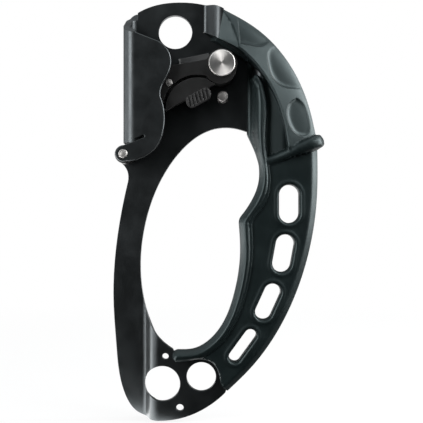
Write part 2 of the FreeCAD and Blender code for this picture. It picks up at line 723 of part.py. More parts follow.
def thumb_pad():
    """Ribbed pad that the thumb pulls down."""
    front, rear = cell("pad_front"), cell("cam_front")
    solid = pad_bar(front + RIDGE_RISE, rear)
    for step in range(-3, 4):
        middle = step * RIDGE_PITCH
        low, high = along_pad(middle - RIDGE_SLANT, -PAD_WIDTH), along_pad(middle + RIDGE_SLANT, PAD_WIDTH)
        solid = solid.fuse(ridge_bar(low, high, front, front + RIDGE_RISE + 0.4))
    solid = solid.common(pad_bar(front - 1.0, rear)).removeSplitter()
    blind = [drum(*along_pad(place), cell("pad_rivet"), RIVET_FRONT - 0.3, 0.0) for place in RIVET_PLACES]
    return solid.cut(blind)


def ridge_bar(low, high, front, rear):
    """Ridge of triangular section with a flat crest, across the pad."""
    along = FreeCAD.Vector(high[0] - low[0], 0, high[1] - low[1])
    side = FreeCAD.Vector(along.z, 0, -along.x).normalize()
    base = vec(*low)
    to_front, to_rear = FreeCAD.Vector(0, front, 0), FreeCAD.Vector(0, rear, 0)
    corners = [
        base + side * RIDGE_FOOT + to_rear,
        base + side * RIDGE_CREST + to_front,
        base - side * RIDGE_CREST + to_front,
        base - side * RIDGE_FOOT + to_rear,
    ]
    return Part.Face(Part.makePolygon(corners + corners[:1])).extrude(along)


def pad_rivets():
    """Two rivets that hold the pad on the catch."""
    radius = cell("pad_rivet") - 2.0 * PRESS_GAP
    rear = cell("lever_rear")
    return Part.makeCompound([drum(*along_pad(place), radius, RIVET_FRONT, rear) for place in RIVET_PLACES])


# ---------------------------------------------------------------- springs

POINTS_PER_TURN = 12


def coil(x, z, front, radius, wire, pitch, turns, leg):
    """Torsion spring about an axis along Y, with a straight leg at its rear end."""
    count = round(turns * POINTS_PER_TURN)
    rail = []
    for index in range(count + 1):
        angle = 2.0 * math.pi * index / POINTS_PER_TURN
        rise = pitch * index / POINTS_PER_TURN
        rail.append(vec(x + radius * math.cos(angle), z + radius * math.sin(angle), front + rise))
    winding = Part.BSplineCurve()
    winding.interpolate(rail)
    start = winding.tangent(winding.FirstParameter)[0]
    lead = winding.tangent(winding.LastParameter)[0]
    path = Part.Wire([winding.toShape(), Part.makeLine(rail[-1], rail[-1] + lead * leg)])
    section = Part.Wire(Part.makeCircle(wire / 2.0, rail[0], start))
    return path.makePipeShell([section], True, True)


# ---------------------------------------------------------------- the assembly


def frame_group():
    plate = frame_plate()
    feature("frame_plate", plate)
    feature("grip", grip().cut(plate))
    rear = "back_rear + rear_washer"
    turned(
        "cam_axle",
        [
            ("zero", "head_front"),
            ("axle_head - edge_break", "head_front"),
            ("axle_head", "head_front + edge_break"),
            ("axle_head", "head_rear"),
            ("axle", "head_rear"),
            ("axle", rear),
            ("spacer_outer", rear),
            ("spacer_outer", rear + " + rear_washer"),
            ("axle", rear + " + rivet_rise"),
            ("zero", rear + " + rivet_rise"),
        ],
        "pivot_x",
        "pivot_z",
    )
    turned(
        "stop_pin",
        [
            ("zero", "stop_front"),
            ("stop_pin - edge_break", "stop_front"),
            ("stop_pin", "stop_front + edge_break"),
            ("stop_pin", "back_front"),
            ("stop_neck", "back_front"),
            ("stop_neck", rear),
            ("stop_pin", rear),
            ("stop_neck", rear + " + rear_washer"),
            ("zero", rear + " + rear_washer"),
        ],
        "stop_x",
        "stop_z",
    )
    turned(
        "roller_axle",
        [
            ("zero", "axle_front"),
            ("roller_axle - edge_break", "axle_front"),
            ("roller_axle", "axle_front + edge_break"),
            ("roller_axle", "back_front"),
            ("roller_neck", "back_front"),
            ("roller_neck", rear),
            ("roller_axle", rear),
            ("roller_neck", rear + " + rear_washer"),
            ("zero", rear + " + rear_washer"),
        ],
        "roller_x",
        "roller_z",
    )
    ring("cam_front_washer", "axle", "washer_outer", "head_rear", "washer_rear", "pivot_x", "pivot_z")
    ring("cam_spacer", "axle", "spacer_outer", "spacer_front + side_gap", "back_front", "pivot_x", "pivot_z")
    ring("cam_axle_rear_washer", "axle", "axle_head", "back_rear", rear, "pivot_x", "pivot_z")
    ring("stop_pin_washer", "stop_neck", "stop_head", "back_rear", rear, "stop_x", "stop_z")
    ring("roller_axle_washer", "roller_neck", "stop_head", "back_rear", rear, "roller_x", "roller_z")
    place = {"x": cell("pivot_x"), "z": cell("pivot_z"), "front": 2.4}
    feature("cam_spring", coil(radius=5.55, wire=1.1, pitch=1.3, turns=3.25, leg=6.0, **place))


def roller_group():
    turned(
        "lower_roller",
        [
            ("roller_bore", "zero - roller_half"),
            ("roller - edge_break", "zero - roller_half"),
            ("roller", "zero - roller_half + edge_break"),
            ("roller_waist", "zero"),
            ("roller", "roller_half - edge_break"),
            ("roller - edge_break", "roller_half"),
            ("roller_bore", "roller_half"),
        ],
        "roller_x",
        "roller_z",
    )
    ring(
        "roller_bush",
        "roller_axle + running",
        "roller_bore",
        "zero - roller_half",
        "roller_half",
        "roller_x",
        "roller_z",
    )
    ring(
        "roller_front_washer",
        "roller_axle",
        "side_washer",
        "flange_rear",
        "zero - roller_half - side_gap",
        "roller_x",
        "roller_z",
    )
    ring(
        "roller_rear_washer",
        "roller_axle",
        "side_washer",
        "roller_half + side_gap",
        "back_front",
        "roller_x",
        "roller_z",
    )


def cam_group():
    feature("cam", cam())
    ring("cam_bush", "axle + running", "bush_outer", "cam_front", "bush_rear", "pivot_x", "pivot_z")
    turned(
        "catch_pivot_pin",
        [
            ("zero", "pin_front"),
            ("catch_pin - edge_break", "pin_front"),
            ("catch_pin", "pin_front + edge_break"),
            ("catch_pin", "cam_rear"),
            ("zero", "cam_rear"),
        ],
        "catch_x",
        "catch_z",
    )
    place = {"x": cell("catch_x"), "z": cell("catch_z"), "front": -0.6}
    feature("catch_spring", coil(radius=2.45, wire=0.55, pitch=0.7, turns=4.25, leg=0.6, **place))


def catch_group():
    feature("safety_catch", safety_catch())
    feature("thumb_pad", thumb_pad())
    feature("pad_rivets", pad_rivets())


def check_and_write():
    doc.recompute()
    for item in doc.Objects:
        bad = [state for state in item.State if state in ("Invalid", "Error")]
        if bad:
            raise RuntimeError(f"{item.Label} is {bad}")
    os.makedirs("parts", exist_ok=True)
    for piece in PARTS:
        shape = piece.Shape
        if shape.isNull() or not shape.isValid() or not shape.Solids:
            raise RuntimeError(f"{piece.Label} has no valid shape")
        print(f"{piece.Label}: {len(shape.Solids)} solid, {shape.Volume:.1f} mm3")
    for piece in PARTS:
        piece.Shape.exportStep(f"parts/{piece.Label}.step")


frame_group()
roller_group()
cam_group()
catch_group()
check_and_write()
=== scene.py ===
"""Looks of a handled rope ascender.

The metal parts keep their shape and get procedural finishes; the grip is a sculpted moulding over the handle.
"""

import json
import math

import bpy
import numpy as np
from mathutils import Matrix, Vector, geometry, kdtree


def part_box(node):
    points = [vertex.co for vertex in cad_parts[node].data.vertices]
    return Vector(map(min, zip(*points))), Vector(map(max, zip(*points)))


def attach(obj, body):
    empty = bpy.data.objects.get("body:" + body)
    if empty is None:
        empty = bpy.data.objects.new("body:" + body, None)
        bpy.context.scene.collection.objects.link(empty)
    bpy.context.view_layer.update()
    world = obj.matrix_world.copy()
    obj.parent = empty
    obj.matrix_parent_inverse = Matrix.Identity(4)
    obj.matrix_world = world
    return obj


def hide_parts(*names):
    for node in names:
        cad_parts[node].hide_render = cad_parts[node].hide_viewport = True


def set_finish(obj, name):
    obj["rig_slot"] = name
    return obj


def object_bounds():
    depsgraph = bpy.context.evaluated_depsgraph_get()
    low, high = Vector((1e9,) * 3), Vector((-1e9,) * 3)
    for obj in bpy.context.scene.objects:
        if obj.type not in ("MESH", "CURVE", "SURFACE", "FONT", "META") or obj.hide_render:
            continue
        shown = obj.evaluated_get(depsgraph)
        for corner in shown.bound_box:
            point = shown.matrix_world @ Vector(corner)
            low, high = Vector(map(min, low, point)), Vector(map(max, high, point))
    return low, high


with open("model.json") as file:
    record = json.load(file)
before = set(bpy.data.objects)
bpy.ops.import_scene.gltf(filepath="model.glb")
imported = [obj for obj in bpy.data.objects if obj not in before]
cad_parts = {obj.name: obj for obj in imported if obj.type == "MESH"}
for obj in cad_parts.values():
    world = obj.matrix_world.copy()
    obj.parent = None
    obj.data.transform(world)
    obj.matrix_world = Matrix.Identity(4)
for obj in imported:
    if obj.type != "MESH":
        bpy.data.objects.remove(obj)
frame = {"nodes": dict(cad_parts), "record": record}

CAD_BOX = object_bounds()
NODES = frame["nodes"]
MM = 0.001


# ---------------------------------------------------------------- plan curves of the grip (X, Z in mm)

OUTER_SIDE = (
    (32.6, -3.5), (44.5, 8.3), (55.4, 22.8), (66.3, 44.3), (72.9, 65.0), (76.9, 90.0), (77.2, 120.0),
)
OUTER_TOP = ((77.2, 120.0), (73.7, 136.0), (66.8, 153.6), (57.8, 166.9), (45.8, 177.9), (30.6, 186.6))
END_LINE = ((30.6, 186.6), (27.8, 172.2))
WALL_X, WALL_TOP, WALL_FOOT = 42.6, 153.6, 125.3

# The finger side from the wall down to the bead's tip, and the end of the moulding round the second eye.
FINGER_TOP = (
    (42.6, 125.3), (47.6, 112.0), (47.9, 100.0), (42.9, 88.6), (39.9, 84.4), (38.5, 82.3), (38.1, 80.2),
)
FINGER_LOW = ((38.1, 80.2), (38.8, 66.0), (35.8, 45.0), (26.8, 25.2), (15.6, 17.4), (7.6, 16.9))
BEAD_TIP = ((7.6, 16.9), (5.6, 15.9), (4.9, 14.0), (5.7, 11.9), (7.8, 10.9))
LOWER_END = (
    (7.8, 10.9), (13.0, 11.4), (19.4, 12.3), (25.6, 9.8), (28.4, 3.4), (29.9, -1.4), (32.6, -3.5),
)

# The bead's other side, from its tip up to its rounded top beside the wall.
BEAD_LOW = ((7.8, 10.9), (16.4, 11.8), (29.6, 20.4), (41.2, 43.4), (44.9, 66.0), (44.5, 78.4))
BEAD_HIGH = (
    (44.5, 78.4), (44.9, 80.7), (46.2, 82.9), (49.4, 87.0), (53.4, 97.0), (52.6, 112.0), (52.4, 126.0),
    (52.8, 141.0), (50.8, 149.3),
)
BEAD_TOP = ((50.8, 149.3), (48.7, 152.9), (46.7, 154.2), (45.3, 153.3), (44.9, 151.0))
BEAD_WALL = ((44.9, 151.0), (45.3, 140.0), (45.5, 127.0), (46.9, 114.5))

# The thumb band's inner edge, the crease across its end, the web behind it and the rib at its foot.
SHELL_EDGE = ((27.8, 172.2), (38.8, 165.2), (50.6, 152.0), (59.4, 132.6), (62.0, 118.0))
FACET_LINE = ((37.3, 184.2), (38.0, 173.8), (38.8, 165.2))
GUSSET_LINE = ((20.8, 176.8), (25.4, 173.8), (30.0, 171.4), (43.6, 162.4))
RIB = ((52.4, 110.4), (63.0, 114.8), (77.3, 120.5))
RIB_START, RIB_END = 2.4, 3.4
SHELL_ON_RIB = (62.6, 114.6)

SECOND_EYE, EYE_CLEAR = (19.4, 3.5), 8.3

# Slots: centre, half width and lean in degrees.
SLOTS = (
    ((63.1, 89.6), 5.05, 0.0),
    ((60.2, 65.0), 4.65, 10.5),
    ((52.5, 41.0), 4.1, 24.5),
    ((39.9, 19.2), 2.9, 36.0),
)
SLOT_LENGTH = 19.0

# Steps of the polylines, and how near to a corner or a join a curve may come with its own points.
STEP, FINE_STEP, ARC_STEP = 0.6, 0.5, 0.55
CORNER_GAP, JOIN_GAP = 0.2, 0.6

# Scallops of the thumb band: rim, depth, and the points that close the loop on the outer side.
SCALLOPS = (
    (
        ((38.6, 168.2), (43.5, 167.4), (47.4, 167.0), (50.0, 167.5), (52.0, 168.9), (54.4, 171.4)),
        2.0,
        ((48.0, 182.0), (37.3, 186.0), (37.6, 180.0), (38.1, 174.0)),
    ),
    (
        (
            (56.4, 168.6), (52.9, 165.6), (51.8, 161.9), (52.1, 158.6), (54.8, 150.6), (59.6, 147.0),
            (66.4, 146.4),
        ),
        2.1,
        ((72.0, 148.0), (66.0, 166.0), (60.0, 172.0)),
    ),
    (
        (
            (66.4, 142.3), (62.9, 139.6), (61.3, 135.3), (61.8, 130.7), (64.4, 125.4), (68.4, 122.9),
            (72.0, 123.4), (73.6, 128.0), (72.6, 134.4), (70.2, 139.6), (66.4, 142.3),
        ),
        1.6,
        ((66.4, 142.3),),
    ),
)


def spline(points, step=STEP):
    """Smooth curve through plan points, as a polyline of the given step."""
    points = np.array(points, float)
    chord = np.linalg.norm(np.diff(points, axis=0), axis=1)
    place = np.concatenate([[0.0], np.cumsum(chord)])
    system, right = np.eye(len(points)), np.zeros(points.shape)
    for i in range(1, len(points) - 1):
        system[i, i - 1 : i + 2] = chord[i - 1], 2.0 * (chord[i - 1] + chord[i]), chord[i]
        right[i] = 6.0 * ((points[i + 1] - points[i]) / chord[i] - (points[i] - points[i - 1]) / chord[i - 1])
    bend = np.linalg.solve(system, right)
    at = np.linspace(0.0, place[-1], max(2, int(round(place[-1] / step)) + 1))
    i = np.clip(np.searchsorted(place, at, side="right") - 1, 0, len(points) - 2)
    span = chord[i][:, None]
    a = (place[i + 1] - at)[:, None] / span
    b = (at - place[i])[:, None] / span
    curved = ((a**3 - a) * bend[i] + (b**3 - b) * bend[i + 1]) * span**2 / 6.0
    return a * points[i] + b * points[i + 1] + curved


def straight(points, step=STEP):
    """Straight runs between plan points, as a polyline of the given step."""
    runs = []
    for start, end in zip(points[:-1], points[1:]):
        count = max(1, int(round(math.dist(start, end) / step)))
        runs.append(np.linspace(start, end, count, endpoint=False))
    return np.vstack(runs + [np.array([points[-1]], float)])


def joined(*paths):
    """One polyline out of several that follow each other."""
    return np.vstack([path[:-1] for path in paths[:-1]] + [paths[-1]])


def reach(points, path):
    """Distance from each plan point to a polyline."""
    best = np.full(len(points), 1e9)
    for start, step in zip(path[:-1], np.diff(path, axis=0)):
        offset = points - start
        along = np.clip(offset @ step / max(step @ step, 1e-12), 0.0, 1.0)
        best = np.minimum(best, np.linalg.norm(offset - along[:, None] * step, axis=1))
    return best


def inside(points, loop):
    """Whether each plan point lies inside a closed polyline."""
    x, z = points.T
    odd = np.zeros(len(points), bool)
    for (x0, z0), (x1, z1) in zip(loop, np.roll(loop, -1, axis=0)):
        if z0 == z1:
            continue
        crosses = (z0 > z) != (z1 > z)
        odd ^= crosses & (x < (x1 - x0) * (z - z0) / (z1 - z0) + x0)
    return odd


def ease(value, low, high):
    """Smooth step from 0 at low to 1 at high."""
    t = np.clip((value - low) / (high - low), 0.0, 1.0)
    return t * t * (3.0 - 2.0 * t)


def quarter(value):
    """Quarter circle from 0 at 0 to 1 at 1."""
    t = np.clip(value, 0.0, 1.0)
    return np.sqrt(1.0 - (1.0 - t) ** 2)


def section(value, knots):
    """Smooth profile through a few knots."""
    path = spline(knots, 0.01)
    return np.interp(value, path[:, 0], path[:, 1])


# ---------------------------------------------------------------- outlines and regions

RIB_AXIS = np.array(RIB[2]) - np.array(RIB[1])
RIB_AXIS /= np.linalg.norm(RIB_AXIS)
RIB_SIDE = np.array([-RIB_AXIS[1], RIB_AXIS[0]])
RIB_REACH = 6.0


def bulge(path):
    """Pushes the outer edge out round the end of the rib, and in from the second eye."""
    offset = path - np.array(RIB[2])
    across = offset @ RIB_SIDE
    along = offset @ RIB_AXIS
    lift = np.sqrt(np.maximum(RIB_END**2 - across**2, 0.0))
    at_end = (np.abs(across) < RIB_END) & (along > -RIB_REACH)
    push = np.where(at_end, np.maximum(lift - along, 0.0), 0.0)
    path = path + push[:, None] * RIB_AXIS
    away = path - np.array(SECOND_EYE)
    gap = np.linalg.norm(away, axis=1)
    cleared = np.array(SECOND_EYE) + away / gap[:, None] * EYE_CLEAR
    return np.where((gap < EYE_CLEAR)[:, None], cleared, path)


def slot_outline(centre, half_width, lean):
    """Stadium outline of one slot in the handle."""
    turn = math.radians(lean)
    run = SLOT_LENGTH / 2.0 - half_width
    axis = np.array([math.sin(turn), math.cos(turn)])
    side = np.array([axis[1], -axis[0]])
    steps = int(math.pi * half_width / ARC_STEP)
    angles = np.linspace(0.0, math.pi, steps + 1)
    cap = np.outer(np.cos(angles), side) + np.outer(np.sin(angles), axis)
    loop = np.vstack([cap * half_width + axis * run, -cap * half_width - axis * run])
    return straight([tuple(point + np.array(centre)) for point in np.vstack([loop, loop[:1]])])


INNER_EDGE = spline(SHELL_EDGE, FINE_STEP)
PLATE_CORNER = (WALL_X, np.interp(WALL_X, *INNER_EDGE.T))
PLATE_EDGE = np.vstack([INNER_EDGE[INNER_EDGE[:, 0] < WALL_X - CORNER_GAP], [PLATE_CORNER]])
WALL_LINE = straight((tuple(PLATE_EDGE[-1]), (WALL_X, WALL_TOP), (WALL_X, WALL_FOOT)))
FINGER_EDGE = spline(FINGER_TOP)
FINGER_SIDE = joined(
    spline(BEAD_WALL),
    FINGER_EDGE[FINGER_EDGE[:, 1] < BEAD_WALL[-1][1] - JOIN_GAP],
    spline(FINGER_LOW),
    spline(BEAD_TIP),
)
BEAD_SIDE = joined(spline(BEAD_LOW), spline(BEAD_HIGH), spline(BEAD_TOP))
OUTER = joined(spline(OUTER_SIDE), spline(OUTER_TOP))
BODY_LOOP = joined(
    spline(OUTER_SIDE, FINE_STEP),
    spline(OUTER_TOP, FINE_STEP),
    straight(END_LINE),
    PLATE_EDGE,
    WALL_LINE,
    spline(FINGER_TOP),
    spline(FINGER_LOW),
    spline(BEAD_TIP),
    spline(LOWER_END),
)[:-1]
OUTLINE = bulge(BODY_LOOP)
SLOT_LOOPS = [slot_outline(*slot)[:-1] for slot in SLOTS]
BEAD_LOOP = joined(FINGER_SIDE, BEAD_SIDE)
SHELL_LOOP = joined(
    spline(OUTER_TOP),
    straight(END_LINE),
    INNER_EDGE,
    straight((SHELL_EDGE[-1], SHELL_ON_RIB, RIB[2], OUTER_TOP[0])),
)
RIB_PATH = straight(RIB)


# ---------------------------------------------------------------- heights of the moulding (mm)

# Heights are counted from the moulding's mid-plane, towards the user in front and away from the user behind.
# Flat panel, skin at the outer edge, the panel's bevel and the round of the lower end.
PANEL, EDGE_HEIGHT = 4.2, 0.9
BEVEL_WIDTH = 3.5
BEVEL = ((0.0, 0.0), (0.1, 0.15), (0.5, 0.58), (0.88, 0.94), (1.05, 1.0))
END_ROUND, END_RISE = 2.6, 5.6

# The metal sheet inside: how far it comes forward, between which X, and its two faces furthest back.
SHEET_TRAVEL, SHEET_FROM, SHEET_TO = 9.0, 43.0, 50.4
SHEET_FRONT, SHEET_BACK = -7.5, 10.5

# Recessed web between the bead and the thumb band: skin on the sheet, flat floor, gentle rise outwards.
SKIN, WEB_FLOOR = 0.7, 2.2
WEB_START, WEB_RISE = 52.5, 0.26
WEB_END, WEB_LIFT = 58.0, 3.0

# Profiles across the bead: share of the way from the fingers' side, and height.
BEAD_AT_HANDLE = (
    (0.0, 1.2), (0.05, 2.6), (0.17, 4.0), (0.30, 5.1), (0.42, 5.9), (0.52, 6.1), (0.66, 5.9),
    (0.78, 5.3), (0.84, 5.3), (0.90, 5.8), (0.95, 5.3), (1.0, 4.2),
)
BEAD_AT_WALL = (
    (0.0, -5.5), (0.08, 1.2), (0.18, 4.0), (0.34, 5.8), (0.50, 6.4), (0.68, 6.0), (0.84, 4.2),
    (0.94, 1.6), (1.0, -1.0),
)
BEAD_AT_TIP = ((0.0, 1.0), (0.08, 3.0), (0.22, 4.9), (0.5, 6.3), (0.78, 5.6), (1.0, 4.2))
TIP_TO_HANDLE, HANDLE_TO_WALL = (14.0, 24.0), (108.0, 122.0)

# Thumb band: profile from the inner to the outer edge, broken inner edge, slope of its end, scallop walls.
SHELL = ((0.0, 8.6), (0.25, 7.2), (0.5, 5.7), (0.75, 3.9), (0.92, 2.2), (1.0, EDGE_HEIGHT))
BREAK_WIDTH, BREAK_DROP = 1.0, 0.8
SHELL_END, END_SLOPE = 1.9, 0.56
SCALLOP_WALL = 1.9
SCALLOP_FADE = (-2.0, 12.5)

# Raised lip round each slot: distance from the slot and height.
SLOT_LIP = ((0.0, 3.0), (0.25, 3.8), (0.6, 4.3), (1.2, 4.6), (1.8, 4.6), (2.3, 4.35), (2.8, PANEL))
LIP_WIDTH = SLOT_LIP[-1][0]

# Rib: height of its axis where it starts and where it is full, and the round dive at its end.
RIB_LOW, RIB_HIGH, RIB_CLIMB, RIB_GROWTH = 3.2, 6.2, 16.0, 12.0
DIVE_START, DIVE_LENGTH = 5.0, 8.0

# Rear skin over the sheet beside the fingers: thickness, rounded edge, and the stretch that it covers.
REAR_SKIN, REAR_ROUND, REAR_WIDTH = 1.6, 1.2, 1.4
REAR_LOW, REAR_HIGH, REAR_SIDE = 108.0, 164.0, 56.0
REAR_FADE = (106.0, 114.0)

# Outline points are moved inwards by a hair before they are sorted into regions.
HAIR = 0.05


def settled(points):
    """The plan points, with those on the outline moved a hair inwards, so that each lies in one region."""
    run = np.roll(OUTLINE, -1, axis=0) - np.roll(OUTLINE, 1, axis=0)
    inward = np.column_stack([-run[:, 1], run[:, 0]]) / np.linalg.norm(run, axis=1)[:, None]
    tree = nearest_point_tree(OUTLINE)
    moved = points.copy()
    for row, (x, z) in enumerate(points):
        index, gap = tree.find((x, z, 0.0))[1:]
        if gap < HAIR / 10.0:
            moved[row] += inward[index] * HAIR
    return moved


def nearest_point_tree(points):
    """Search tree over plan points."""
    tree = kdtree.KDTree(len(points))
    for index, (x, z) in enumerate(points):
        tree.insert((x, z, 0.0), index)
    tree.balance()
    return tree


def sheet_step(x):
    """How far the metal sheet inside has come forward by the given X."""
    return SHEET_TRAVEL * ease(x, SHEET_FROM, SHEET_TO)


def web_height(x):
    """Recessed web: it lies on the sheet inside, then rises a little towards the thumb band."""
    on_sheet = sheet_step(x) + SHEET_FRONT + SKIN + WEB_LIFT * ease(x, SHEET_TO, WEB_END)
    return np.minimum(WEB_FLOOR + WEB_RISE * np.maximum(x - WEB_START, 0.0), on_sheet)


def bead_height(points):
    """Bead along the fingers: round shoulder, groove and fine ridge; higher up, a wall to the cam plate."""
    near = reach(points, FINGER_SIDE)
    far = reach(points, BEAD_SIDE)
    share = near / np.maximum(near + far, 1e-6)
    handle, wall, tip = (section(share, knots) for knots in (BEAD_AT_HANDLE, BEAD_AT_WALL, BEAD_AT_TIP))
    z = points[:, 1]
    mixed = handle + (wall - handle) * ease(z, *HANDLE_TO_WALL)
    return tip + (mixed - tip) * ease(z, *TIP_TO_HANDLE)


def scallop(points, rim, depth, closing):
    """Depth of a hollow for a finger or thumb on the outer side of a rim, fading out at the outer edge."""
    rim = spline(rim)
    wall = np.clip(reach(points, rim) / SCALLOP_WALL, 0.0, 1.0)
    cut = depth * wall * (2.0 - wall) * ease(reach(points, OUTER), *SCALLOP_FADE)
    return np.where(inside(points, np.vstack([rim, np.array(closing)])), cut, 0.0)


def shell_height(points):
    """Thick band under the thumb: it slopes away from a crisp inner edge and carries three scallops."""
    inner, outer = reach(points, INNER_EDGE), reach(points, OUTER)
    height = section(inner / np.maximum(inner + outer, 1e-6), SHELL)
    height -= BREAK_DROP * (1.0 - np.clip(inner / BREAK_WIDTH, 0.0, 1.0))
    for rim, depth, closing in SCALLOPS:
        height -= scallop(points, rim, depth, closing)
    end = reach(points, straight(END_LINE))
    return np.minimum(height, SHELL_END + END_SLOPE * end)


def rib_height(points):
    """Cross rib, round in section, which dives round the outer edge."""
    across = reach(points, RIB_PATH)
    along = (points - np.array(RIB[1])) @ RIB_AXIS
    start = (points - np.array(RIB[0])) @ RIB_AXIS
    radius = RIB_START + (RIB_END - RIB_START) * ease(along, 0.0, RIB_GROWTH)
    centre = RIB_LOW + (RIB_HIGH - RIB_LOW) * ease(start, 0.0, RIB_CLIMB)
    past = along - math.dist(RIB[1], RIB[2]) + DIVE_START
    dive = np.sqrt(np.maximum(1.0 - np.clip(past / DIVE_LENGTH, 0.0, 1.0) ** 2, 0.0))
    tube = centre * dive + np.sqrt(np.maximum(radius**2 - across**2, 0.0))
    return np.where(across < radius, tube, -99.0)


def moulding_height(points, rear):
    """Height of the moulding's skin at plan points, towards the user or, for the rear, away from the user."""
    points = settled(points)
    x, z = points.T
    in_bead = inside(points, BEAD_LOOP)
    in_shell = inside(points, SHELL_LOOP)
    above_rib = (points - np.array(RIB[1])) @ RIB_SIDE > 0.0
    web = web_height(x)
    height = np.where(above_rib & ~in_bead & ~in_shell, web, PANEL)
    bevel = section(reach(points, spline(OUTER_SIDE)) / BEVEL_WIDTH, BEVEL)
    height = np.minimum(height, EDGE_HEIGHT + (PANEL - EDGE_HEIGHT) * np.minimum(bevel, 1.0))
    bead = bead_height(points)
    height = np.where(in_bead, np.where(above_rib, np.maximum(bead, web), bead), height)
    end_round = quarter(reach(points, spline(LOWER_END)) / END_ROUND)
    height = np.minimum(height, EDGE_HEIGHT + END_RISE * end_round)
    height = np.where(in_shell, shell_height(points), height)
    height = np.where(inside(points, BODY_LOOP), height, 0.0)
    for loop in SLOT_LOOPS:
        edge = reach(points, np.vstack([loop, loop[:1]]))
        height = np.where(edge < LIP_WIDTH, section(edge, SLOT_LIP), height)
    height = np.maximum(height, rib_height(points))
    if rear:
        round_edge = REAR_ROUND * (1.0 - quarter(reach(points, WALL_LINE) / REAR_WIDTH))
        cover = (SHEET_BACK - sheet_step(x) + REAR_SKIN - round_edge) * ease(z, *REAR_FADE)
        beside_fingers = (z > REAR_LOW) & (z < REAR_HIGH) & (x < REAR_SIDE)
        height = np.where(beside_fingers, np.maximum(height, cover), height)
    return height


# ---------------------------------------------------------------- mesh of the moulding

# Shares across the bead at which its rows of points lie.
BEAD_SHARES = (0.05, 0.17, 0.30, 0.42, 0.52, 0.66, 0.78, 0.84, 0.90, 0.95)

# Rows of points beside a scallop's rim, and beside the outline and slots: distance, least gap to others.
RIM_ROWS = ((0.14, 0.148), (0.4, 0.2), (0.8, 0.28), (1.3, 0.32))
EDGE_ROWS = ((0.08, 0.07), (0.25, 0.16), (0.55, 0.3), (1.0, 0.3), (1.6, 0.3), (2.3, 0.3), (3.0, 0.3))

# Distance of the rows on both sides of a sudden step in height, pitch of the grid, and the other least gaps.
STEP_ROW, PITCH = 0.07, 0.85
STEP_GAP, ROW_GAP, RIM_GAP, GRID_GAP = 0.06, 0.12, 0.18, 0.42

# Edges sharper than these angles in degrees stay crisp.
MOULDING_SHARP, GUSSET_SHARP = 38.0, 30.0


def offset_rows(path, distance):
    """Copies of a polyline on both sides at a distance."""
    run = np.gradient(path, axis=0)
    side = np.column_stack([run[:, 1], -run[:, 0]]) / np.linalg.norm(run, axis=1)[:, None]
    return [path + side * distance * sign for sign in (1.0, -1.0)]


def thinned(groups):
    """Merges groups of points in order of priority, leaving out those too close to earlier ones."""
    kept = np.empty((0, 2))
    for points, gap in groups:
        if len(kept):
            tree = nearest_point_tree(kept)
            far = [point for point in points if tree.find((point[0], point[1], 0.0))[2] > gap]
            points = np.array(far).reshape(-1, 2)
        kept = np.vstack([kept, points])
    return kept


def bead_rows(shares):
    """Lines along the bead at given shares of the way from the fingers' side to its other side."""
    nearest = [FINGER_SIDE[np.argmin(np.linalg.norm(FINGER_SIDE - point, axis=1))] for point in BEAD_SIDE]
    return [np.array(nearest) * (1.0 - share) + BEAD_SIDE * share for share in shares]


def grid_points():
    """Staggered grid over the outline's box."""
    low, high = OUTLINE.min(axis=0), OUTLINE.max(axis=0)
    x, z = np.meshgrid(np.arange(low[0], high[0], PITCH), np.arange(low[1], high[1], PITCH * 0.87))
    x[1::2] += PITCH / 2.0
    return np.column_stack([x.ravel(), z.ravel()])


def point_groups():
    """Groups of plan points in order of importance, each with its least distance to the earlier ones."""
    rims = [spline(scallop_rim, FINE_STEP) for scallop_rim, depth, closing in SCALLOPS]
    rims.append(spline(FACET_LINE, FINE_STEP))
    groups = []
    for path in (INNER_EDGE, BEAD_SIDE):
        groups += [(row, STEP_GAP) for row in offset_rows(path, STEP_ROW)]
    for distance in (BREAK_WIDTH / 2.0, BREAK_WIDTH):
        groups += [(row, ROW_GAP) for row in offset_rows(INNER_EDGE, distance)]
    groups += [(row, ROW_GAP) for row in bead_rows(BEAD_SHARES)]
    groups += [(rim, RIM_GAP) for rim in rims]
    for rim in rims:
        for distance, gap in RIM_ROWS:
            groups += [(row, gap) for row in offset_rows(rim, distance)]
    for loop in [OUTLINE] + SLOT_LOOPS:
        for distance, gap in EDGE_ROWS:
            groups += [(row, gap) for row in offset_rows(np.vstack([loop, loop[:1]]), distance)]
    return groups + [(grid_points(), GRID_GAP)]


def within_moulding(points):
    """Whether each plan point lies inside the outline and outside every slot."""
    keep = inside(points, OUTLINE)
    for loop in SLOT_LOOPS:
        keep &= ~inside(points, loop)
    return keep


def moulding_plan():
    """Triangles that fill the grip's outline, finer along its features."""
    loops = [OUTLINE] + SLOT_LOOPS
    clipped = [(points[within_moulding(points)], gap) for points, gap in point_groups()]
    plan = thinned([(np.vstack(loops), 0.0)] + clipped)
    edges, base = [], 0
    for loop in loops:
        edges += [(base + i, base + (i + 1) % len(loop)) for i in range(len(loop))]
        base += len(loop)
    made = geometry.delaunay_2d_cdt([Vector(point) for point in plan], edges, [], 0, 1e-5, False)
    points = np.array([tuple(point) for point in made[0]])
    faces = np.array([face for face in made[2]])
    return points, faces[within_moulding(points[faces].mean(axis=1))]


def finished_mesh(name, vertices, faces, sharp):
    """Smooth-shaded mesh from vertices in mm, with edges sharper than an angle in degrees kept crisp."""
    mesh = bpy.data.meshes.new(name)
    mesh.from_pydata((np.array(vertices) * MM).tolist(), [], faces)
    mesh.validate()
    mesh.shade_smooth()
    mesh.set_sharp_from_angle(angle=math.radians(sharp))
    return mesh


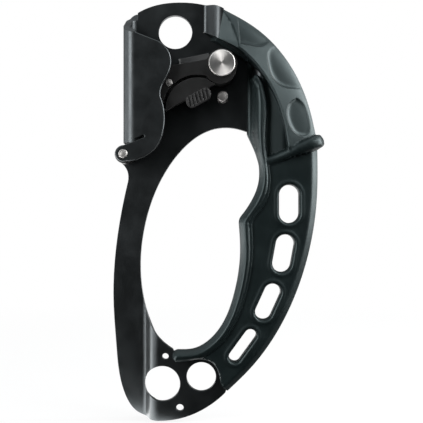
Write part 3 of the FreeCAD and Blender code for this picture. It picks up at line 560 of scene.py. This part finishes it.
def moulding_mesh():
    """Closed mesh of the grip: a front skin, a rear skin and the walls between them."""
    points, faces = moulding_plan()
    front, rear = moulding_height(points, False), moulding_height(points, True)
    count = len(points)
    front_skin = np.column_stack([points[:, 0], -front, points[:, 1]])
    rear_skin = np.column_stack([points[:, 0], rear, points[:, 1]])
    edges = {(int(a), int(b)) for face in faces for a, b in zip(face, np.roll(face, -1))}
    walls = [(b, a, a + count, b + count) for a, b in edges if (b, a) not in edges]
    polygons = [tuple(map(int, face)) for face in faces]
    polygons += [tuple(int(i) + count for i in reversed(face)) for face in faces]
    vertices = np.vstack([front_skin, rear_skin])
    return finished_mesh("grip_moulding", vertices, polygons + walls, MOULDING_SHARP)


# The gusset's section: half width, depth of its back and its cut corners; its front follows the slit.
GUSSET_HALF, GUSSET_DEPTH = 1.9, 10.2
CORNER_WIDTH, CORNER_DEPTH = 0.6, 0.8
SLIT_FRONT, SLIT_FADE = 8.2, (24.4, 27.4)


def gusset_mesh():
    """Web of the moulding that closes the slit between the top band and the cam plate from behind."""
    path = straight(GUSSET_LINE, 1.0)
    run = np.gradient(path, axis=0)
    side = np.column_stack([-run[:, 1], run[:, 0]]) / np.linalg.norm(run, axis=1)[:, None]
    half, back = GUSSET_HALF, GUSSET_DEPTH
    flat, shoulder = half - CORNER_WIDTH, back - CORNER_DEPTH
    ring = [(-half, 0.0), (-half, shoulder), (-flat, back), (flat, back), (half, shoulder), (half, 0.0)]
    vertices, faces = [], []
    for index, (point, normal) in enumerate(zip(path, side)):
        front = SLIT_FRONT * (1.0 - ease(point[0], *SLIT_FADE))
        for across, depth in ring:
            place = point + normal * across
            vertices.append((place[0], max(depth, front), place[1]))
        if index:
            old, new = (index - 1) * len(ring), index * len(ring)
            for k in range(len(ring)):
                following = (k + 1) % len(ring)
                faces.append((old + k, old + following, new + following, new + k))
    last = (len(path) - 1) * len(ring)
    faces += [tuple(reversed(range(len(ring)))), tuple(range(last, last + len(ring)))]
    return finished_mesh("grip_gusset", vertices, faces, GUSSET_SHARP)


def add_piece(name, mesh, slot, *stands_for):
    """Puts a mesh on the frame as a named piece, in place of the CAD nodes that it stands for."""
    piece = bpy.data.objects.new(name, mesh)
    bpy.context.scene.collection.objects.link(piece)
    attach(piece, "frame")
    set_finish(piece, slot)
    if stands_for:
        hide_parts(*stands_for)
    return piece


# ---------------------------------------------------------------- shader nodes


def add(tree, kind, inputs=None, **settings):
    """One shader node with its settings and inputs; an input is a value or another node's socket."""
    node = tree.nodes.new("ShaderNode" + kind)
    for key, value in settings.items():
        setattr(node, key, value)
    for key, value in (inputs or {}).items():
        if isinstance(value, bpy.types.NodeSocket):
            tree.links.new(value, node.inputs[key])
        else:
            node.inputs[key].default_value = value
    return node


def noise(tree, place, scale, detail=5.0, roughness=0.6):
    """Value of a noise pattern; the scale counts features per metre."""
    inputs = {"Vector": place, "Scale": scale, "Detail": detail, "Roughness": roughness}
    return add(tree, "TexNoise", inputs).outputs["Fac"]


def spread(tree, value, from_low, from_high, to_low, to_high):
    """Value mapped from one range to another and held at its ends."""
    ends = {"From Min": from_low, "From Max": from_high, "To Min": to_low, "To Max": to_high}
    return add(tree, "MapRange", {"Value": value, **ends}).outputs["Result"]


def maths(tree, operation, first, second=0.0):
    """Result of one arithmetic step on two values."""
    return add(tree, "Math", {0: first, 1: second}, operation=operation).outputs[0]


def vector(tree, operation, first, second=(0.0, 0.0, 0.0), result="Vector"):
    """Result of one step of vector arithmetic."""
    return add(tree, "VectorMath", {0: first, 1: second}, operation=operation).outputs[result]


def tint(tree, amount, first, second):
    """Colour between two others by an amount."""
    node = add(tree, "Mix", {"Factor": amount}, data_type="RGBA")
    for name, value in (("A", first), ("B", second)):
        socket = next(s for s in node.inputs if s.name == name and s.type == "RGBA")
        if isinstance(value, bpy.types.NodeSocket):
            tree.links.new(value, socket)
        else:
            socket.default_value = value
    return next(s for s in node.outputs if s.type == "RGBA")


def grey(level, warm=0.0):
    """Grey of a level, a little warmer if asked."""
    return (level * (1.0 + warm), level, level * (1.0 - warm), 1.0)


# ---------------------------------------------------------------- finishes

WHITE = (1.0, 1.0, 1.0, 1.0)
COOL = (0.80, 0.97, 0.99, 1.0)
COLD_METAL = (0.88, 0.96, 1.0, 1.0)
WORN_STEEL = grey(0.62, 0.02)

# Painted light on the lug that is lanced out of the cam plate: a paler painted sheen over the whole lug, and
# a painted highlight on its left end; lowest and highest corner in mm, and grey level.
LUG_PAINTED_LIGHT = (
    ((8.0, -1.0, 157.5), (26.0, 6.0, 166.5), 0.07),
    ((7.5, -1.0, 157.0), (9.0, 6.0, 162.5), 0.25),
)

# Pins with a blasted head, and the radius of the ring pressed into each, in mm.
RIVETS = {"stop_pin": 1.7, "roller_axle": 1.3, "catch_pivot_pin": 1.1}
RING_WIDTH, RING_DEPTH = 0.35, 0.10
DOME_RADIUS, DOME_DEPTH = 3.0, 0.5
SEAM_WIDTH, SEAM_DEPTH = 0.18, 0.08
RINGS_PER_METRE, GROOVE = 6500.0, 0.012

# Finishes with no feature of their own.
PLAIN = {
    "pin_steel": {
        "colour": grey(0.42, 0.03), "roughness": 0.42, "metal": 1.0, "grain": 5200.0, "bump": 0.05,
        "worn": WORN_STEEL,
    },
    "washer_steel": {
        "colour": grey(0.40, 0.02), "roughness": 0.34, "metal": 1.0, "grain": 2600.0, "bump": 0.012,
        "worn": WORN_STEEL,
    },
    "spring_steel": {
        "colour": grey(0.34, 0.04), "roughness": 0.32, "metal": 1.0, "grain": 4200.0, "bump": 0.012,
        "worn": WORN_STEEL,
    },
    "cam_steel": {
        "colour": grey(0.0085), "roughness": 0.46, "grain": 1500.0, "bump": 0.05, "edge": 0.35,
        "worn": grey(0.15),
    },
    "catch_alloy": {
        "colour": grey(0.012), "roughness": 0.44, "grain": 2200.0, "bump": 0.03, "edge": 0.3,
        "worn": grey(0.14),
    },
    "pad_grip": {
        "colour": grey(0.022), "roughness": 0.52, "grain": 1800.0, "bump": 0.05, "worn": grey(0.10),
        "wear": 0.6,
    },
    "bush_bronze": {
        "colour": (0.50, 0.30, 0.13, 1.0), "roughness": 0.38, "metal": 1.0, "bump": 0.015,
        "worn": (0.7, 0.45, 0.2, 1.0),
    },
    "roller_alloy": {
        "colour": grey(0.02), "roughness": 0.30, "metal": 0.3, "grain": 2600.0, "bump": 0.01,
        "worn": grey(0.3),
    },
}


class Finish:
    """Procedural finish: base colour, roughness with patches, fine grain as bump, and worn edges.

    The grain counts features per metre; bump and edge are the grain's depth and the edges' rounding in mm.
    """

    PATCHES, CHIPS = 90.0, 700.0

    def __init__(
        self, slot, colour, roughness, metal=0.0, grain=2500.0, bump=0.02, edge=0.25, worn=None, wear=0.5,
        ior=1.5, sheen=WHITE,
    ):
        self.material = bpy.data.materials.new(slot)
        self.material.use_nodes = True
        self.tree = self.material.node_tree
        self.tree.nodes.clear()
        self.place = add(self.tree, "TexCoord").outputs["Object"]
        self.fine = noise(self.tree, self.place, grain)
        self.patches = noise(self.tree, self.place, self.PATCHES, 3.0)
        bevel = add(self.tree, "Bevel", {"Radius": edge * MM}, samples=6).outputs["Normal"]
        self.wear = self.worn_edges(bevel, wear)
        deep = tuple(channel * 0.8 for channel in colour[:3]) + (1.0,)
        mottled = tint(self.tree, spread(self.tree, self.patches, 0.35, 0.65, 0.0, 1.0), deep, colour)
        self.colour = tint(self.tree, self.wear, mottled, worn or colour)
        self.normal = bevel
        inputs = {
            "Base Color": self.colour,
            "Roughness": self.uneven(roughness),
            "Metallic": metal,
            "IOR": ior,
            "Specular Tint": sheen,
        }
        self.shader = add(self.tree, "BsdfPrincipled", inputs)
        self.relief(self.fine, bump)
        add(self.tree, "OutputMaterial", {"Surface": self.shader.outputs[0]})

    def worn_edges(self, bevel, wear):
        """Amount of wear: high in chips along the edges, where the rounded normal leaves the flat one."""
        flat = add(self.tree, "NewGeometry").outputs["Normal"]
        agree = vector(self.tree, "DOT_PRODUCT", bevel, flat, "Value")
        at_edge = spread(self.tree, agree, 0.995, 0.9, 0.0, 1.0)
        chipped = spread(self.tree, noise(self.tree, self.place, self.CHIPS, 6.0), 0.42, 0.62, 0.15, 1.0)
        return maths(self.tree, "MULTIPLY", maths(self.tree, "MULTIPLY", at_edge, chipped), wear)

    def uneven(self, roughness):
        """Roughness that varies with the patches and the grain."""
        by_patch = spread(self.tree, self.patches, 0.3, 0.7, -0.05, 0.06)
        by_grain = spread(self.tree, self.fine, 0.3, 0.7, -0.03, 0.03)
        return maths(self.tree, "ADD", maths(self.tree, "ADD", by_patch, by_grain), roughness)

    def relief(self, height, distance):
        """Adds one more layer of bump, of a depth in mm."""
        inputs = {"Strength": 0.6, "Distance": distance * MM, "Height": height, "Normal": self.normal}
        self.normal = add(self.tree, "Bump", inputs).outputs["Normal"]
        self.tree.links.new(self.normal, self.shader.inputs["Normal"])

    def from_axis(self, node):
        """Vector from a turned part's own axis, which runs along Y through the middle of its box."""
        low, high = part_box(node)
        centre = (low + high) / 2.0
        away = vector(self.tree, "SUBTRACT", self.place, (centre.x, 0.0, centre.z))
        return vector(self.tree, "MULTIPLY", away, (1.0, 0.0, 1.0))

    def within(self, low, high):
        """1 inside a box given in mm, 0 outside it."""
        axes = add(self.tree, "SeparateXYZ", {0: self.place}).outputs
        total = 1.0
        for axis, start, end in zip(axes, low, high):
            above = maths(self.tree, "GREATER_THAN", axis, start * MM)
            below = maths(self.tree, "LESS_THAN", axis, end * MM)
            total = maths(self.tree, "MULTIPLY", total, maths(self.tree, "MULTIPLY", above, below))
        return total


def frame_finish():
    """Black anodised sheet, with a painted sheen over its lug and a painted highlight on the lug's left end.
    """
    finish = Finish(
        "frame_anodised", (0.0034, 0.0040, 0.0041, 1.0), 0.36, grain=3000.0, bump=0.012, worn=grey(0.06),
        wear=0.4, ior=1.75, sheen=COLD_METAL,
    )
    colour = finish.colour
    # Painted light: the whole lug is painted paler as a sheen, and its left end is painted as a highlight.
    for low, high, level in LUG_PAINTED_LIGHT:
        colour = tint(finish.tree, finish.within(low, high), colour, grey(level))
    finish.tree.links.new(colour, finish.shader.inputs["Base Color"])
    return finish


def grip_finish():
    """Dark moulded polymer with a faint parting seam in its mid-plane."""
    finish = Finish(
        "grip_moulding", (0.0075, 0.0125, 0.0130, 1.0), 0.40, grain=1600.0, bump=0.03, edge=0.2,
        worn=(0.028, 0.038, 0.04, 1.0), wear=0.4, sheen=COOL,
    )
    depth = add(finish.tree, "SeparateXYZ", {0: finish.place}).outputs[1]
    seam = spread(finish.tree, maths(finish.tree, "ABSOLUTE", depth), 0.0, SEAM_WIDTH * MM, 1.0, 0.0)
    finish.relief(seam, SEAM_DEPTH)
    return finish


def turned_finish(node):
    """Turned face: fine rings round the axis and a highlight that fans out from it."""
    finish = Finish(
        "turned_steel", grey(0.85, 0.03), 0.46, metal=1.0, grain=400.0, bump=0.002, edge=0.12,
        worn=grey(0.75),
    )
    away = finish.from_axis(node)
    radius = vector(finish.tree, "LENGTH", away, result="Value")
    inputs = {"W": radius, "Scale": RINGS_PER_METRE, "Detail": 2.0}
    finish.relief(add(finish.tree, "TexNoise", inputs, noise_dimensions="1D").outputs["Fac"], GROOVE)
    tangent = vector(finish.tree, "CROSS_PRODUCT", away, (0.0, 1.0, 0.0))
    unit = vector(finish.tree, "NORMALIZE", tangent)
    finish.tree.links.new(unit, finish.shader.inputs["Tangent"])
    finish.shader.inputs["Anisotropic"].default_value = 0.8
    return finish


def rivet_finish(node, ring):
    """Blasted rivet head: slightly domed, with a ring pressed in at a radius in mm."""
    finish = Finish(
        node + "_steel", grey(0.55, 0.03), 0.50, metal=1.0, grain=2400.0, bump=0.02, worn=WORN_STEEL,
        wear=0.3,
    )
    tree = finish.tree
    radius = vector(tree, "LENGTH", finish.from_axis(node), result="Value")
    groove = maths(tree, "ABSOLUTE", maths(tree, "SUBTRACT", radius, ring * MM))
    finish.relief(spread(tree, groove, 0.0, RING_WIDTH * MM, 0.0, 1.0), RING_DEPTH)
    finish.relief(spread(tree, radius, 0.0, DOME_RADIUS * MM, 1.0, 0.0), DOME_DEPTH)
    return finish


def make_finishes():
    """All finishes: by slot, and by node for the rivet heads."""
    made = {slot: Finish(slot, **settings) for slot, settings in PLAIN.items()}
    made["frame_anodised"] = frame_finish()
    made["grip_moulding"] = grip_finish()
    made["turned_steel"] = turned_finish("cam_axle")
    for node, ring in RIVETS.items():
        made[node] = rivet_finish(node, ring)
    return made


def paint(objects, finishes):
    """Gives every CAD node and piece its own finish or that of its slot."""
    slots = {row["node"]: row["material_slot"] for row in frame["record"]["subparts"]}
    for name, item in objects.items():
        slot = item.get("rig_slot") or slots.get(name)
        item.data.materials.clear()
        item.data.materials.append(finishes.get(name, finishes[slot]).material)


# ---------------------------------------------------------------- stage (metres)

FLOOR_HALF, FLOOR_GAP = 6.0, 0.0006

# Soft boxes: offset from the object's middle (Y from its mid-plane), width and height, and power in watts.
SOFT_BOXES = {
    "left_box": ((-0.47, -0.38, 0.10), (0.24, 0.50), 2.5),
    "right_box": ((0.57, -0.03, 0.17), (0.40, 0.60), 5.6),
    "top_box": ((0.40, -0.34, 0.42), (0.28, 0.28), 1.3),
}

# The camera stands at the user's side, level with a point a little off the object's middle.
AIM_X, AIM_Z = -0.00279, -0.00100
CAMERA_DISTANCE, CAMERA_LENS = 0.420, 71.5

# Light from the surroundings: brightest at the sides, nearly dark along Y; tone of that light.
SIDE_LIGHT, END_LIGHT = 1.0, 0.05
COVE = (0.93, 0.98, 1.0, 1.0)

# The floor's reflected glow at the far left and behind, and the distances where the eye sees it turn white.
LEFT_GLOW, REAR_GLOW = 5.0, 1.2
WHITE_FROM, WHITE_TO = 0.10, 0.55


def node_tree(owner):
    """Empty node tree of a material or world."""
    owner.use_nodes = True
    owner.node_tree.nodes.clear()
    return owner.node_tree


def seen_and_reflected(tree, seen, reflected):
    """One shader for the eye and another for the light that reaches the object."""
    to_eye = add(tree, "LightPath").outputs["Is Camera Ray"]
    return add(tree, "MixShader", {0: to_eye, 1: reflected, 2: seen}).outputs[0]


def floor_material(low, middle):
    """Pale floor that turns into white further away; in reflections it glows at the far left and behind."""
    material = bpy.data.materials.new("floor")
    tree = node_tree(material)
    place = add(tree, "TexCoord").outputs["Object"]
    far = spread(tree, vector(tree, "LENGTH", place, result="Value"), WHITE_FROM, WHITE_TO, 0.85, 1.0)
    lit = add(tree, "BsdfDiffuse", {"Color": grey(0.85)}).outputs[0]
    white = add(tree, "Emission", {"Color": WHITE, "Strength": 1.0}).outputs[0]
    seen = add(tree, "MixShader", {0: far, 1: lit, 2: white}).outputs[0]
    away = vector(tree, "SUBTRACT", place, (middle.x + AIM_X, 0.0, low.z))
    towards = add(tree, "SeparateXYZ", {0: vector(tree, "NORMALIZE", away)}).outputs
    at_left = spread(tree, towards[0], -0.95, -0.75, LEFT_GLOW, 0.0)
    beside = spread(tree, towards[1], -0.4, -0.1, 0.0, 1.0)
    behind = spread(tree, towards[1], 0.2, 0.7, 0.02, REAR_GLOW)
    strength = maths(tree, "ADD", maths(tree, "MULTIPLY", at_left, beside), behind)
    glow = add(tree, "Emission", {"Color": WHITE, "Strength": strength}).outputs[0]
    add(tree, "OutputMaterial", {"Surface": seen_and_reflected(tree, seen, glow)})
    return material


def plain_floor(low, middle):
    """Wide pale floor just under the object."""
    half, z = FLOOR_HALF, low.z - FLOOR_GAP
    mesh = bpy.data.meshes.new("floor")
    corners = [(-half, -half, z), (half, -half, z), (half, half, z), (-half, half, z)]
    mesh.from_pydata(corners, [], [(0, 1, 2, 3)])
    mesh.materials.append(floor_material(low, middle))
    floor = bpy.data.objects.new("floor", mesh)
    bpy.context.scene.collection.objects.link(floor)


def surroundings():
    """White to the eye; as light, dark towards the camera and bright at the sides, like a white cove."""
    world = bpy.data.worlds.new("surroundings")
    bpy.context.scene.world = world
    tree = node_tree(world)
    direction = add(tree, "TexCoord").outputs["Generated"]
    depth = add(tree, "SeparateXYZ", {0: direction}).outputs[1]
    level = spread(tree, maths(tree, "ABSOLUTE", depth), 0.15, 0.92, SIDE_LIGHT, END_LIGHT)
    light = add(tree, "Background", {"Color": COVE, "Strength": level}).outputs[0]
    white = add(tree, "Background", {"Color": WHITE, "Strength": 1.0}).outputs[0]
    add(tree, "OutputWorld", {"Surface": seen_and_reflected(tree, white, light)})


def soft_box(name, place, target, size, power):
    """Rectangular lamp that looks at a target and isn't seen itself."""
    lamp = bpy.data.lights.new(name, "AREA")
    lamp.shape = "RECTANGLE"
    lamp.size, lamp.size_y = size
    lamp.energy = power
    item = bpy.data.objects.new(name, lamp)
    item.location = place
    item.rotation_euler = (Vector(target) - Vector(place)).to_track_quat("-Z", "Y").to_euler()
    item.visible_camera = False
    bpy.context.scene.collection.objects.link(item)


def set_stage(low, middle):
    """Floor, surroundings and the three soft boxes."""
    plain_floor(low, middle)
    surroundings()
    for name, (offset, size, power) in SOFT_BOXES.items():
        place = (middle.x + offset[0], offset[1], middle.z + offset[2])
        soft_box(name, place, middle, size, power)


def set_camera(middle):
    """Camera that looks straight along Y."""
    data = bpy.data.cameras.new("camera")
    data.sensor_width = 36.0
    data.lens = CAMERA_LENS
    camera = bpy.data.objects.new("camera", data)
    camera.location = (middle.x + AIM_X, -CAMERA_DISTANCE, middle.z + AIM_Z)
    camera.rotation_euler = (math.radians(90.0), 0.0, 0.0)
    bpy.context.scene.collection.objects.link(camera)
    bpy.context.scene.camera = camera


# ---------------------------------------------------------------- the scene

LOW, HIGH = CAD_BOX
MIDDLE = (LOW + HIGH) / 2.0

bpy.context.scene.view_settings.view_transform = "Standard"
GRIP = add_piece("grip_moulding", moulding_mesh(), "grip_moulding", "grip")
GUSSET = add_piece("grip_gusset", gusset_mesh(), "grip_moulding")
paint({**NODES, GRIP.name: GRIP, GUSSET.name: GUSSET}, make_finishes())
set_stage(LOW, MIDDLE)
set_camera(MIDDLE)
